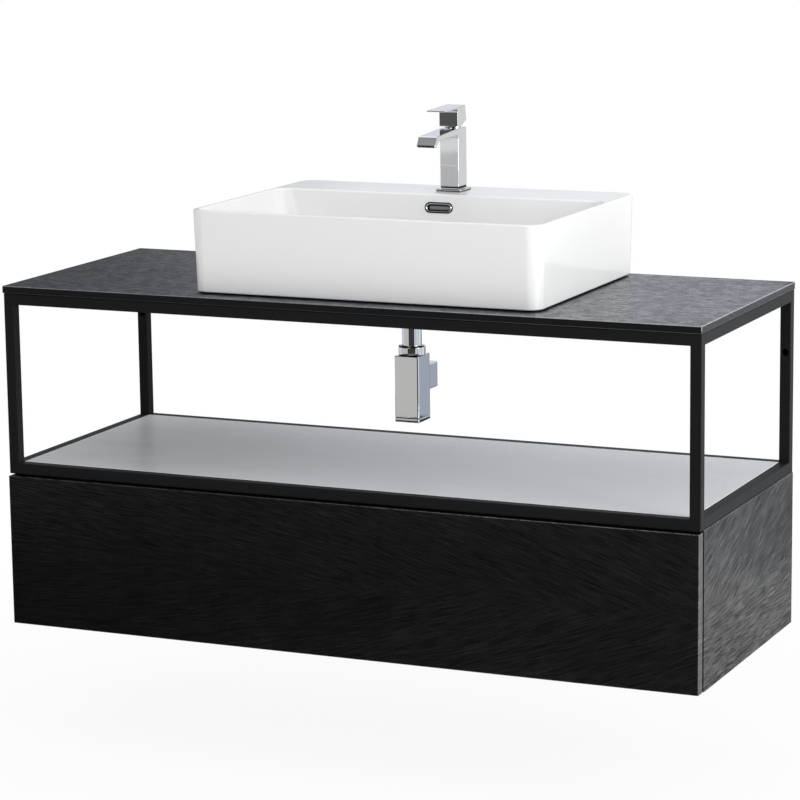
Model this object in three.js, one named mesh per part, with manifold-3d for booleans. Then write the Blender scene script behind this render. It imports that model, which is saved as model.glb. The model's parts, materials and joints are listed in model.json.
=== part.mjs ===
// Wall-hung vanity, 1200 mm wide: a countertop on a square-tube frame with an open shelf, a drawer
// cabinet below it, and a vessel basin with its faucet, waste and bottle trap.
// Millimetres, +Z up. The wall plane is Y = 0, the room is on the -Y side, and Z = 0 is the middle
// of the frame's top rails. Every piece is a separate closed solid.

import * as THREE from "three";
import { mergeVertices } from "three/addons/utils/BufferGeometryUtils.js";
import Module from "manifold-3d";

const wasm = await Module();
wasm.setup();

// ---- Driving dimensions -------------------------------------------------------------------------

const WIDTH = 1200; // countertop and cabinet, side to side
const DEPTH = 468; // wall plane to the countertop's front edge
const GAP = 0.3; // left between pieces that touch

const TUBE = 18; // frame tube, outside
const TUBE_WALL = 1.5;
const FRAME_WIDTH = WIDTH - 2;
const FRAME_DEPTH = DEPTH - 2;
const FRAME_HEIGHT = 300;
const WALL_SCREW_DROP = 91.2; // wall screw holes in the rear posts, below the top rails' middle
const WALL_SCREW_ACCESS = 11; // hole in the tube's front wall, for the screwdriver
const WALL_SCREW_HOLE = 6.6; // hole in the tube's rear wall, for the screw

const SLAB = 12;
const SLAB_JOINT = 0.8; // shadow line between countertop and frame
const DRAIN_CUTOUT = 52;
const HOSE_CUTOUT = 60;

const SHELF = 16;
const PANEL = 18; // cabinet side panels
const BOARD = 16; // cabinet top and bottom, drawer box
const CABINET_HEIGHT = 253;
const CABINET_SETBACK = 19; // cabinet front edge behind the countertop's front edge
const BACK_PANEL = 8;
const HANGING_RAIL_HEIGHT = 100;

const FRONT_WIDTH = WIDTH - 3;
const FRONT_HEIGHT = 250;
const FRONT_THICKNESS = 19;
const FRONT_REVEAL = 3; // between the drawer front and the cabinet's front edges
const DRAWER_BOX_LENGTH = 390;
const DRAWER_SIDE_HEIGHT = 170;
const DRAWER_BOTTOM = 10;
const DRAWER_BASE_CLEARANCE = 24; // drawer sides above the cabinet's underside

const RUNNER_SPACE = 13; // between a cabinet side and a drawer side
const RUNNER_STEEL = 1.2;
const RUNNER_SETBACK = 2; // behind the cabinet's front edge
// Where each member's web and flange tips lie in that space, measured from the cabinet side.
const RUNNER_MEMBERS = {
  outer: { web: 0, tip: 11, height: 45, length: 400 },
  middle: { web: 4, tip: 10.4, height: 38, length: 385 },
  inner: { web: 11.2, tip: 6.4, height: 30, length: 395 },
};
const HANGER = { width: 46, depth: 15, height: 58, steel: 2, screw: 7, margin: 1 };
const LATCH = { size: 14, length: 60, setback: 3, stem: 6, reach: 34, head: 9, headLength: 2 };

const BASIN = { width: 602, depth: 433, height: 130, radius: 26, tapHole: 35, drainHole: 46 };
const BASIN_OFFSET = 29; // basin, faucet and trap stand right of the vanity's middle
const BASIN_WALL_GAP = 2; // basin back to the wall plane
const BASIN_TAPER = 4; // each side, over the height
const BASIN_BED = 1; // sealant between the foot and the countertop
const FOOT = { height: 2.8, inset: 9, width: 10 };
const RIM = 9;
const LEDGE = 120; // deck behind the bowl, measured from the wall plane
const BOWL = { depth: 108, slope: 18, fillet: 26, shell: 11, radius: 18 };
const LEDGE_THICKNESS = 12;
const OVERFLOW = { width: 50, height: 18, drop: 22, rim: 4, proud: 1.5, sleeve: 8 };

const DRAIN_Y = -239;
const WASTE = { flange: 63, rim: 3, recess: 4, thread: 41.9, bore: 36, length: 84, socket: 12 };
const SEAL = 1.5;
const PLUG = { diameter: 58, rise: 5.2, stem: 8, below: 6 };
const CROSSBAR = { z: 18, height: 6, width: 14, hole: 8.8 };
const WASTE_NUT = { across: 58, height: 12, washer: 3, washerDiameter: 60 };
const PIPE = { diameter: 32, wall: 1.2, bottom: -165 };

const TRAP = { width: 43, depth: 48, top: -91.5, bottom: -193, radius: 4, wall: 2.5, roof: 6 };
const TRAP_CAP = { thickness: 6.9, spigot: 6, spigotWall: 2.7 };
const TRAP_NUT = { diameter: 44, height: 15, recess: 39, recessHeight: 7 };
const TRAP_OUTLET = { size: 42, length: 30.7, z: -131.2, bore: 33 };

const FAUCET_Y = -61;
const FAUCET = { width: 33, depth: 35, height: 104.5, base: 45, baseThickness: 4.7, baseBore: 30 };
const CARTRIDGE = { diameter: 26, height: 22, nutBore: 20, nutRise: 2.4, seat: 10, slot: [7.8, 11.8] };
const SPINDLE = { size: 7, bottom: 6.6, reach: 13 }; // bottom is below the faucet body's top
const LEVER_CLEARANCE = 0.4;
const LEVER = { tip: -131.5, rise: 33.8, tipRise: 30.9, plate: 2.5 };
const STUD = { diameter: 8, forward: 9, drop: 58 }; // drop is below the basin's top
const INLET = { diameter: 10, spacing: 16, back: 5, drop: 44 };
const SOCKET_DEPTH = 12; // of stud and inlets, up into the faucet body
const CLAMP = { diameter: 44, thickness: 3, nut: 15, nutHeight: 11 };

// ---- Levels and faces worked out from them ------------------------------------------------------

const SLAB_BOTTOM = TUBE / 2 + SLAB_JOINT;
const SLAB_TOP = SLAB_BOTTOM + SLAB;
const FRAME_BOTTOM = TUBE / 2 - FRAME_HEIGHT;
const SHELF_TOP = FRAME_BOTTOM + TUBE;
const CABINET_TOP = FRAME_BOTTOM - GAP;
const CABINET_BOTTOM = CABINET_TOP - CABINET_HEIGHT;
const CABINET_FRONT = CABINET_SETBACK - DEPTH;
const INNER_X = WIDTH / 2 - PANEL; // cabinet, inside
const FRONT_BACK_Y = CABINET_FRONT - FRONT_REVEAL; // rear face of the drawer front
const DRAWER_X = INNER_X - RUNNER_SPACE; // drawer box, outside
const DRAWER_BOX_BOTTOM = CABINET_BOTTOM + DRAWER_BASE_CLEARANCE;
const DRAWER_BOX_TOP = DRAWER_BOX_BOTTOM + DRAWER_SIDE_HEIGHT;
const RUNNER_Z = (DRAWER_BOX_BOTTOM + DRAWER_BOX_TOP) / 2;
const RUNNER_FRONT = CABINET_FRONT + RUNNER_SETBACK;
const BASIN_BOTTOM = SLAB_TOP + BASIN_BED + FOOT.height;
const BASIN_TOP = BASIN_BOTTOM + BASIN.height;
const BASIN_BACK = -BASIN_WALL_GAP;
const BASIN_FRONT = BASIN_BACK - BASIN.depth;
const BOWL_FLOOR = BASIN_TOP - BOWL.depth;
const WASTE_SEAT = BOWL_FLOOR - WASTE.recess;
const BOWL_FRONT = BASIN_FRONT + RIM;
const BOWL_BACK = -LEDGE;
const BOWL_WIDTH = BASIN.width - 2 * RIM;
const BOWL_LENGTH = BOWL_BACK - BOWL_FRONT;
const BOWL_Y = (BOWL_FRONT + BOWL_BACK) / 2;
const WALL_SLOPE = Math.atan(BOWL.slope / BOWL.depth);
const FAUCET_BOTTOM = BASIN_TOP + GAP + FAUCET.baseThickness + GAP;
const FAUCET_TOP = BASIN_TOP + FAUCET.height;

// ---- Materials ----------------------------------------------------------------------------------

const finish = (color, roughness, metalness) =>
  new THREE.MeshStandardMaterial({ color, roughness, metalness });

const MATERIALS = {
  laminate: finish("#4a4d52", 0.5, 0),
  powderCoat: finish("#1a1a1b", 0.45, 0.2),
  satinSilver: finish("#c4c8cc", 0.35, 0.3),
  stainedOak: finish("#252628", 0.5, 0),
  carcass: finish("#55575a", 0.6, 0),
  zincSteel: finish("#a9adb2", 0.35, 1),
  ceramic: finish("#f1f1ef", 0.08, 0),
  chrome: finish("#d8dadc", 0.06, 1),
  rubber: finish("#161616", 0.8, 0),
  plastic: finish("#8d9094", 0.5, 0),
};

// ---- Solids -------------------------------------------------------------------------------------

function solid(geometry) {
  geometry.deleteAttribute("normal");
  geometry.deleteAttribute("uv");
  const { index, attributes } = mergeVertices(geometry);
  return new wasm.Manifold(
    new wasm.Mesh({
      numProp: 3,
      vertProperties: attributes.position.array,
      triVerts: Uint32Array.from(index.array),
    }),
  );
}

function geometryOf(manifold) {
  const { vertProperties, triVerts } = manifold.getMesh();
  const geometry = new THREE.BufferGeometry();
  geometry.setAttribute("position", new THREE.BufferAttribute(vertProperties, 3));
  geometry.setIndex(new THREE.BufferAttribute(triVerts, 1));
  geometry.computeVertexNormals();
  return geometry;
}

const cut = (body, ...tools) => tools.reduce((rest, tool) => rest.subtract(tool), body);
const join = (body, ...others) => others.reduce((whole, other) => whole.add(other), body);

// A box between two values on each axis.
function block([x0, x1], [y0, y1], [z0, z1]) {
  const geometry = new THREE.BoxGeometry(x1 - x0, y1 - y0, z1 - z0);
  return solid(geometry.translate((x0 + x1) / 2, (y0 + y1) / 2, (z0 + z1) / 2));
}

// An upright cylinder about (x, y), from z0 to z1.
function disc(x, y, diameter, z0, z1, segments = 24) {
  const geometry = new THREE.CylinderGeometry(diameter / 2, diameter / 2, z1 - z0, segments);
  return solid(geometry.rotateX(Math.PI / 2).translate(x, y, (z0 + z1) / 2));
}

// An upright ring about (x, y).
const ring = (x, y, outer, inner, z0, z1, segments = 24) =>
  cut(disc(x, y, outer, z0, z1, segments), disc(x, y, inner, z0 - 1, z1 + 1, segments));

// A cylinder along Y through (x, z), from y0 to y1.
function rod(x, z, diameter, y0, y1, segments = 20) {
  const geometry = new THREE.CylinderGeometry(diameter / 2, diameter / 2, y1 - y0, segments);
  return solid(geometry.translate(x, (y0 + y1) / 2, z));
}

// A rectangle about the origin with round corners.
function roundedRectangle(width, height, radius) {
  const [x, y] = [width / 2 - radius, height / 2 - radius];
  const shape = new THREE.Shape();
  shape.absarc(x, -y, radius, -Math.PI / 2, 0);
  shape.absarc(x, y, radius, 0, Math.PI / 2);
  shape.absarc(-x, y, radius, Math.PI / 2, Math.PI);
  shape.absarc(-x, -y, radius, Math.PI, 1.5 * Math.PI);
  return shape;
}

const outlineOf = (points) => new THREE.Shape(points.map(([x, y]) => new THREE.Vector2(x, y)));

const AXES = {
  x: new THREE.Vector3(1, 0, 0),
  y: new THREE.Vector3(0, 1, 0),
  z: new THREE.Vector3(0, 0, 1),
};

// A shape drawn in (Y, Z), extruded along X.
function acrossX(shape, x0, x1, curveSegments = 6) {
  const geometry = new THREE.ExtrudeGeometry(shape, {
    depth: x1 - x0,
    bevelEnabled: false,
    curveSegments,
  });
  const turn = new THREE.Matrix4().makeBasis(AXES.y, AXES.z, AXES.x);
  return solid(geometry.applyMatrix4(turn).translate(x0, 0, 0));
}

// A shape drawn in (X, Z), extruded along Y.
function alongY(shape, y0, y1, curveSegments = 6) {
  const geometry = new THREE.ExtrudeGeometry(shape, {
    depth: y1 - y0,
    bevelEnabled: false,
    curveSegments,
  });
  return solid(geometry.rotateX(Math.PI / 2).translate(0, y1, 0));
}

// A shape drawn in (X, Y), extruded up Z.
function upZ(shape, z0, z1, curveSegments = 6) {
  const geometry = new THREE.ExtrudeGeometry(shape, {
    depth: z1 - z0,
    bevelEnabled: false,
    curveSegments,
  });
  return solid(geometry.translate(0, 0, z0));
}

// A rounded rectangle carried through levels of [z, inset], about (x, y).
function tub({ x, y, width, depth, radius, levels }) {
  const last = levels.length - 1;
  const geometry = new THREE.ExtrudeGeometry(roundedRectangle(width, depth, radius), {
    depth: last,
    steps: last,
    bevelEnabled: false,
    curveSegments: 5,
  });
  const { position } = geometry.attributes;
  for (let i = 0; i < position.count; i++) {
    const [z, inset] = levels[Math.round(position.getZ(i))];
    position.setXYZ(
      i,
      x + position.getX(i) * (1 - (2 * inset) / width),
      y + position.getY(i) * (1 - (2 * inset) / depth),
      z,
    );
  }
  return solid(geometry);
}

const model = new THREE.Group();

function add(name, body, material) {
  const mesh = new THREE.Mesh(geometryOf(body), material);
  mesh.name = name;
  model.add(mesh);
}

const SIDES = [
  ["left", -1],
  ["right", 1],
];

// The span from a to b, mirrored to the left when side is -1.
const mirrored = (side, a, b) => (side > 0 ? [a, b] : [-b, -a]);

// ---- Frame --------------------------------------------------------------------------------------

// Square tube along one axis between two values, its section centred on the other two axes.
function squareTube(axis, [from, to], [u, v]) {
  const half = TUBE / 2;
  const bore = half - TUBE_WALL;
  const box = (reach, end) => {
    const spans = { x: [u - reach, u + reach], y: [u - reach, u + reach], z: [v - reach, v + reach] };
    if (axis === "z") spans.y = [v - reach, v + reach];
    spans[axis] = [from - end, to + end];
    return block(spans.x, spans.y, spans.z);
  };
  return cut(box(half, 0), box(bore, 1));
}

function buildFrame() {
  const postX = (FRAME_WIDTH - TUBE) / 2;
  const rows = [
    ["front", TUBE / 2 - FRAME_DEPTH],
    ["rear", -TUBE / 2],
  ];
  const levels = [
    ["top", 0],
    ["bottom", FRAME_BOTTOM + TUBE / 2],
  ];
  const clear = TUBE / 2 + GAP;

  for (const [row, y] of rows) {
    for (const [sideName, side] of SIDES) {
      let post = squareTube("z", [FRAME_BOTTOM, TUBE / 2], [side * postX, y]);
      if (row === "rear") {
        const middle = -TUBE / 2;
        post = cut(
          post,
          rod(side * postX, -WALL_SCREW_DROP, WALL_SCREW_ACCESS, -TUBE - 1, middle),
          rod(side * postX, -WALL_SCREW_DROP, WALL_SCREW_HOLE, middle, 1),
        );
      }
      add(`frame_post_${row}_${sideName}`, post, MATERIALS.powderCoat);
    }
    for (const [level, z] of levels) {
      const span = [clear - postX, postX - clear];
      add(`frame_rail_${level}_${row}`, squareTube("x", span, [y, z]), MATERIALS.powderCoat);
    }
  }
  for (const [level, z] of levels) {
    for (const [sideName, side] of SIDES) {
      const span = [rows[0][1] + clear, rows[1][1] - clear];
      const rail = squareTube("y", span, [side * postX, z]);
      add(`frame_rail_${level}_${sideName}`, rail, MATERIALS.powderCoat);
    }
  }
}

// ---- Countertop and shelf -----------------------------------------------------------------------

function buildCountertop() {
  const slab = block([-WIDTH / 2, WIDTH / 2], [-DEPTH, 0], [SLAB_BOTTOM, SLAB_TOP]);
  const cutout = (y, diameter) =>
    disc(BASIN_OFFSET, y, diameter, SLAB_BOTTOM - 1, SLAB_TOP + 1, 32);
  add(
    "countertop",
    cut(slab, cutout(DRAIN_Y, DRAIN_CUTOUT), cutout(FAUCET_Y, HOSE_CUTOUT)),
    MATERIALS.laminate,
  );
}

function buildShelf() {
  const x = FRAME_WIDTH / 2 - TUBE - GAP;
  const front = TUBE + GAP - FRAME_DEPTH;
  add(
    "shelf_panel",
    block([-x, x], [front, -TUBE - GAP], [SHELF_TOP - SHELF, SHELF_TOP]),
    MATERIALS.satinSilver,
  );
}

// ---- Cabinet ------------------------------------------------------------------------------------

function buildCabinet() {
  const depth = [CABINET_FRONT, 0];
  const between = [GAP - INNER_X, INNER_X - GAP];
  const underTop = CABINET_TOP - BOARD;
  const overBottom = CABINET_BOTTOM + BOARD;
  const backFront = -BOARD - BACK_PANEL;

  for (const [name, side] of SIDES) {
    const x = mirrored(side, INNER_X, WIDTH / 2);
    const panel = block(x, depth, [CABINET_BOTTOM, CABINET_TOP]);
    add(`cabinet_side_${name}`, panel, MATERIALS.stainedOak);
  }
  add("cabinet_top", block(between, depth, [underTop, CABINET_TOP]), MATERIALS.carcass);
  add("cabinet_bottom", block(between, depth, [CABINET_BOTTOM, overBottom]), MATERIALS.carcass);
  add(
    "cabinet_back",
    block(between, [backFront, -BOARD], [overBottom + GAP, underTop - GAP]),
    MATERIALS.carcass,
  );
  add(
    "hanging_rail",
    block(between, [GAP - BOARD, 0], [underTop - HANGING_RAIL_HEIGHT, underTop - GAP]),
    MATERIALS.carcass,
  );

  // Adjustable hangers in the cabinet's upper rear corners.
  for (const [name, side] of SIDES) {
    const outer = INNER_X - HANGER.margin;
    const x = mirrored(side, outer - HANGER.width, outer);
    const y = [backFront - GAP - HANGER.depth, backFront - GAP];
    const z = [underTop - HANGER.margin - HANGER.height, underTop - HANGER.margin];
    const inside = block(
      [x[0] + HANGER.steel, x[1] - HANGER.steel],
      [y[0] - 1, y[1] - HANGER.steel],
      [z[0] + HANGER.steel, z[1] - HANGER.steel],
    );
    const [middleX, middleZ] = [(x[0] + x[1]) / 2, (z[0] + z[1]) / 2];
    const screw = rod(middleX, middleZ, HANGER.screw, y[0] + 1, y[1] - HANGER.steel / 2);
    const bracket = join(cut(block(x, y, z), inside), screw);
    add(`wall_bracket_${name}`, bracket, MATERIALS.zincSteel);
  }
}

// ---- Drawer -------------------------------------------------------------------------------------

function buildDrawer() {
  const front = FRONT_BACK_Y + GAP;
  const rear = front + DRAWER_BOX_LENGTH;
  const inner = DRAWER_X - BOARD - GAP;
  const floor = DRAWER_BOX_BOTTOM + 5;

  add(
    "drawer_front",
    block(
      [-FRONT_WIDTH / 2, FRONT_WIDTH / 2],
      [FRONT_BACK_Y - FRONT_THICKNESS, FRONT_BACK_Y],
      [CABINET_BOTTOM, CABINET_BOTTOM + FRONT_HEIGHT],
    ),
    MATERIALS.stainedOak,
  );
  for (const [name, side] of SIDES) {
    const x = mirrored(side, DRAWER_X - BOARD, DRAWER_X);
    add(
      `drawer_side_${name}`,
      block(x, [front, rear], [DRAWER_BOX_BOTTOM, DRAWER_BOX_TOP]),
      MATERIALS.carcass,
    );
  }
  add(
    "drawer_bottom",
    block([-inner, inner], [front, rear], [floor, floor + DRAWER_BOTTOM]),
    MATERIALS.carcass,
  );
  add(
    "drawer_back",
    block([-inner, inner], [rear - BOARD, rear], [floor + DRAWER_BOTTOM + GAP, DRAWER_BOX_TOP]),
    MATERIALS.carcass,
  );
}

// Full-extension runners: three nested channels on each side. Each channel is a web with two
// flanges, open towards the drawer (outer, middle) or towards the cabinet (inner).
function buildRunners() {
  const start = INNER_X - GAP;
  for (const [sideName, side] of SIDES) {
    for (const [name, { web, tip, height, length }] of Object.entries(RUNNER_MEMBERS)) {
      const half = height / 2;
      const near = Math.min(web, tip); // measured from the cabinet side
      const far = Math.max(web + RUNNER_STEEL, tip);
      const hollow = tip > web ? [web + RUNNER_STEEL, far + 1] : [near - 1, web];
      const y = [RUNNER_FRONT, RUNNER_FRONT + length];
      const bar = block(
        mirrored(side, start - far, start - near),
        y,
        [RUNNER_Z - half, RUNNER_Z + half],
      );
      const bore = block(
        mirrored(side, start - hollow[1], start - hollow[0]),
        [y[0] - 1, y[1] + 1],
        [RUNNER_Z - half + RUNNER_STEEL, RUNNER_Z + half - RUNNER_STEEL],
      );
      add(`runner_${name}_${sideName}`, cut(bar, bore), MATERIALS.zincSteel);
    }
  }
}

// Push-to-open latch under the cabinet top: its plunger bears on the drawer front.
function buildLatch() {
  const half = LATCH.size / 2;
  const top = CABINET_TOP - BOARD - GAP;
  const z = top - half;
  const face = CABINET_FRONT + LATCH.setback;
  const tip = FRONT_BACK_Y + GAP;
  const travel = 4; // free length behind the plunger
  const body = block([-half, half], [face, face + LATCH.length], [top - LATCH.size, top]);
  const bore = rod(0, z, LATCH.stem + 2 * GAP, face - 1, face + LATCH.reach + travel);
  add("push_latch", cut(body, bore), MATERIALS.plastic);

  const head = rod(0, z, LATCH.head, tip, tip + LATCH.headLength);
  const stem = rod(0, z, LATCH.stem, tip + LATCH.headLength / 2, tip + LATCH.reach);
  add("latch_plunger", join(head, stem), MATERIALS.plastic);
}

// ---- Basin --------------------------------------------------------------------------------------

// Levels of the bowl's inside, or of its outside when grown by the shell's thickness.
function bowlLevels(grow) {
  const floor = BOWL_FLOOR - grow;
  const radius = BOWL.fillet + grow;
  const slopeAt = (z) => (BOWL.slope * (BASIN_TOP - z)) / BOWL.depth;
  const steps = 4;
  const levels = [];
  for (let i = 0; i <= steps; i++) {
    const angle = (Math.PI / 2) * (i / steps);
    const z = floor + radius * (1 - Math.cos(angle));
    levels.push([z, slopeAt(z) + radius * (1 - Math.sin(angle)) - grow]);
  }
  levels.push([BASIN_TOP + 1, slopeAt(BASIN_TOP + 1) - grow]);
  return levels;
}

// The overflow's outline on the bowl's sloping back wall, grown by a margin and extruded square
// to the wall, where positive distances reach into the bowl.
function overflowPrism(margin, from, to) {
  const shape = roundedRectangle(
    OVERFLOW.width + 2 * margin,
    OVERFLOW.height + 2 * margin,
    OVERFLOW.height / 2 + margin - 0.01,
  );
  const geometry = new THREE.ExtrudeGeometry(shape, {
    depth: to - from,
    bevelEnabled: false,
    curveSegments: 5,
  });
  geometry.translate(0, 0, from).rotateX(Math.PI / 2 - WALL_SLOPE);
  const y = BOWL_BACK - (BOWL.slope * OVERFLOW.drop) / BOWL.depth;
  return solid(geometry.translate(BASIN_OFFSET, y, BASIN_TOP - OVERFLOW.drop));
}

function buildBasin() {
  // The basin's outline drawn in by a distance, carried through levels of [z, inset].
  const prism = (distance, levels) =>
    tub({
      x: BASIN_OFFSET,
      y: (BASIN_FRONT + BASIN_BACK) / 2,
      width: BASIN.width - 2 * distance,
      depth: BASIN.depth - 2 * distance,
      radius: Math.max(BASIN.radius - distance, 6),
      levels,
    });
  const footInset = BASIN_TAPER + FOOT.inset;
  const body = prism(0, [
    [BASIN_BOTTOM, BASIN_TAPER],
    [BASIN_TOP, 0],
  ]);
  const foot = prism(footInset, [
    [SLAB_TOP + BASIN_BED, 0],
    [BASIN_BOTTOM + 1, 0],
  ]);
  const hollow = prism(footInset + FOOT.width, [
    [SLAB_TOP - 1, 0],
    [BASIN_TOP - LEDGE_THICKNESS, 0],
  ]);

  const bowlTub = (grow) =>
    tub({
      x: BASIN_OFFSET,
      y: BOWL_Y,
      width: BOWL_WIDTH,
      depth: BOWL_LENGTH,
      radius: BOWL.radius,
      levels: bowlLevels(grow),
    });
  const drain = [BASIN_OFFSET, DRAIN_Y];
  const wasteHole = disc(...drain, BASIN.drainHole, SLAB_TOP, BOWL_FLOOR + 5, 32);
  const wasteSeat = disc(...drain, WASTE.flange + 3, WASTE_SEAT, BOWL_FLOOR + 5, 32);
  const tapBottom = BASIN_TOP - LEDGE_THICKNESS - BASIN.tapHole;
  const tapHole = disc(BASIN_OFFSET, FAUCET_Y, BASIN.tapHole, tapBottom, BASIN_TOP + 1);
  const overflowHole = overflowPrism(-OVERFLOW.rim / 2, -OVERFLOW.width, OVERFLOW.width);
  const shell = cut(join(body, foot), cut(hollow, bowlTub(BOWL.shell)), bowlTub(0));
  add("basin", cut(shell, wasteHole, wasteSeat, tapHole, overflowHole), MATERIALS.ceramic);

  const face = GAP + OVERFLOW.proud;
  const collar = overflowPrism(0, GAP, face);
  const sleeve = overflowPrism(-OVERFLOW.rim / 2 - GAP, -OVERFLOW.sleeve, face - 1);
  const throat = overflowPrism(-OVERFLOW.rim, -OVERFLOW.width, OVERFLOW.width);
  add("overflow_ring", cut(join(collar, sleeve), throat), MATERIALS.chrome);
}

// ---- Waste and tail pipe ------------------------------------------------------------------------

function buildWaste() {
  const at = [BASIN_OFFSET, DRAIN_Y];
  const flangeBottom = WASTE_SEAT + GAP + SEAL + GAP;
  const flangeTop = flangeBottom + WASTE.rim;
  const bodyBottom = flangeBottom - WASTE.length;
  const pipeTop = bodyBottom + WASTE.socket;
  const clearance = 2 * GAP; // on a diameter

  const sealBottom = WASTE_SEAT + GAP;
  const seal = ring(...at, WASTE.flange - 3, WASTE.thread + 1, sealBottom, sealBottom + SEAL);
  add("waste_seal", seal, MATERIALS.rubber);

  const halfBar = WASTE.bore / 2 + 1;
  const barTop = CROSSBAR.z + CROSSBAR.height;
  const crossbar = block(
    [BASIN_OFFSET - halfBar, BASIN_OFFSET + halfBar],
    [DRAIN_Y - CROSSBAR.width / 2, DRAIN_Y + CROSSBAR.width / 2],
    [CROSSBAR.z, barTop],
  );
  const flange = disc(...at, WASTE.flange, flangeBottom, flangeTop, 32);
  const tube = join(flange, disc(...at, WASTE.thread, bodyBottom, flangeTop));
  const bored = cut(
    tube,
    disc(...at, WASTE.bore, pipeTop + 1, flangeTop + 1),
    disc(...at, PIPE.diameter + clearance, bodyBottom - 1, pipeTop + 1),
  );
  const guide = disc(...at, CROSSBAR.hole, CROSSBAR.z - 1, barTop + 1);
  add("waste_body", cut(join(bored, crossbar), guide), MATERIALS.chrome);

  const plugBottom = flangeTop + GAP;
  const radius = PLUG.diameter / 2;
  const profile = [
    [0, 0],
    [radius - 2, 0],
    [radius, 0.3 * PLUG.rise],
    [radius - 0.8, 0.6 * PLUG.rise],
    [0.7 * radius, 0.9 * PLUG.rise],
    [0, PLUG.rise],
  ].map(([x, height]) => new THREE.Vector2(x, plugBottom + height));
  const lathe = new THREE.LatheGeometry(profile, 32).rotateX(Math.PI / 2);
  const dome = solid(lathe.translate(BASIN_OFFSET, DRAIN_Y, 0));
  const stem = disc(...at, PLUG.stem, CROSSBAR.z - PLUG.below, plugBottom + 1, 16);
  add("waste_plug", join(dome, stem), MATERIALS.chrome);

  const washerTop = SLAB_BOTTOM - GAP;
  const washerBottom = washerTop - WASTE_NUT.washer;
  const bore = WASTE.thread + 1;
  const washer = ring(...at, WASTE_NUT.washerDiameter, bore, washerBottom, washerTop);
  add("waste_washer", washer, MATERIALS.rubber);

  const nutTop = washerBottom - GAP;
  const nutBottom = nutTop - WASTE_NUT.height;
  const octagon = disc(...at, WASTE_NUT.across, nutBottom, nutTop, 8);
  const thread = disc(...at, WASTE.thread + clearance, nutBottom - 1, nutTop + 1);
  add("waste_nut", cut(octagon, thread), MATERIALS.plastic);

  const pipeBore = PIPE.diameter - 2 * PIPE.wall;
  const pipe = ring(...at, PIPE.diameter, pipeBore, PIPE.bottom, pipeTop);
  add("tail_pipe", pipe, MATERIALS.chrome);
}

// ---- Bottle trap --------------------------------------------------------------------------------

function buildTrap() {
  const at = [BASIN_OFFSET, DRAIN_Y];
  const plan = roundedRectangle(TRAP.width, TRAP.depth, TRAP.radius);
  const prism = (z0, z1) => upZ(plan, z0, z1, 4).translate([BASIN_OFFSET, DRAIN_Y, 0]);
  const well = TRAP.width - 2 * TRAP.wall; // diameter of the water space
  const passage = PIPE.diameter + 1; // round the tail pipe
  const rear = DRAIN_Y + TRAP.depth / 2;

  const nutBottom = TRAP.top + GAP;
  const recessTop = nutBottom + TRAP_NUT.recessHeight;
  const nut = ring(...at, TRAP_NUT.diameter, passage, nutBottom, nutBottom + TRAP_NUT.height);
  const recess = disc(...at, TRAP_NUT.recess, nutBottom - 1, recessTop);
  add("trap_nut", cut(nut, recess), MATERIALS.chrome);

  const sealOuter = TRAP_NUT.recess - 2 * GAP;
  const seal = ring(...at, sealOuter, PIPE.diameter + 2 * GAP, nutBottom, recessTop - 2);
  add("trap_seal", seal, MATERIALS.rubber);

  const roof = TRAP.top - TRAP.roof;
  const wellBore = disc(...at, well, TRAP.bottom - 1, roof);
  const pipeBore = disc(...at, passage, roof - 1, TRAP.top + 1);
  const port = rod(BASIN_OFFSET, TRAP_OUTLET.z, TRAP_OUTLET.bore - 4, DRAIN_Y, rear + 1);
  const body = cut(prism(TRAP.bottom, TRAP.top), wellBore, pipeBore, port);
  add("trap_body", body, MATERIALS.chrome);

  const capTop = TRAP.bottom - GAP;
  const spigotOuter = well - 2 * GAP;
  const spigot = ring(
    ...at,
    spigotOuter,
    spigotOuter - 2 * TRAP_CAP.spigotWall,
    capTop - 1,
    TRAP.bottom + TRAP_CAP.spigot,
  );
  const cap = join(prism(capTop - TRAP_CAP.thickness, capTop), spigot);
  add("trap_cap", cap, MATERIALS.chrome);

  const { size, length, z, bore } = TRAP_OUTLET;
  const start = rear + GAP;
  const collar = alongY(roundedRectangle(size, size, 2), start, start + length, 2);
  const socket = rod(BASIN_OFFSET, z, bore, start - 1, start + length + 1, 24);
  add("trap_outlet", cut(collar.translate([BASIN_OFFSET, 0, z]), socket), MATERIALS.chrome);
}

// ---- Faucet -------------------------------------------------------------------------------------

// Side outline of the faucet body in (Y, Z): column, thin arm and a lip turned down at its tip.
function faucetOutline(front, back) {
  const top = FAUCET_TOP;
  const armUnderside = top - 11.3;
  const outline = new THREE.Shape();
  outline.moveTo(front, FAUCET_BOTTOM);
  outline.lineTo(back, FAUCET_BOTTOM);
  outline.lineTo(back, top);
  outline.lineTo(front, top);
  outline.lineTo(-165.6, top - 5.2);
  outline.quadraticCurveTo(-170.5, top - 13, -174.6, top - 21);
  outline.lineTo(-169, top - 23.4);
  outline.quadraticCurveTo(-163, top - 14.5, -152.3, top - 13);
  outline.lineTo(front - 5, armUnderside);
  outline.quadraticCurveTo(front, armUnderside, front, armUnderside - 5);
  outline.closePath();
  return outline;
}

// Side outline of the lever in (Y, Z): a block over the body with a thin plate reaching forward.
// Its rear lower edge is chamfered, so it clears the body when it lifts.
function leverOutline(bottom, front, back) {
  const root = 1; // the plate gets this much thicker towards the block
  const underside = bottom + LEVER.tipRise - LEVER.plate;
  const outline = new THREE.Shape();
  outline.moveTo(front, bottom);
  outline.lineTo(FAUCET_Y - 4.2, bottom);
  outline.lineTo(back, bottom + 8.5);
  outline.lineTo(back - 5, bottom + LEVER.rise);
  outline.lineTo(LEVER.tip, bottom + LEVER.tipRise);
  outline.lineTo(LEVER.tip, underside);
  outline.lineTo(front - 4, underside + root);
  outline.quadraticCurveTo(front, underside + root, front, underside - 4);
  outline.closePath();
  return outline;
}

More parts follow.
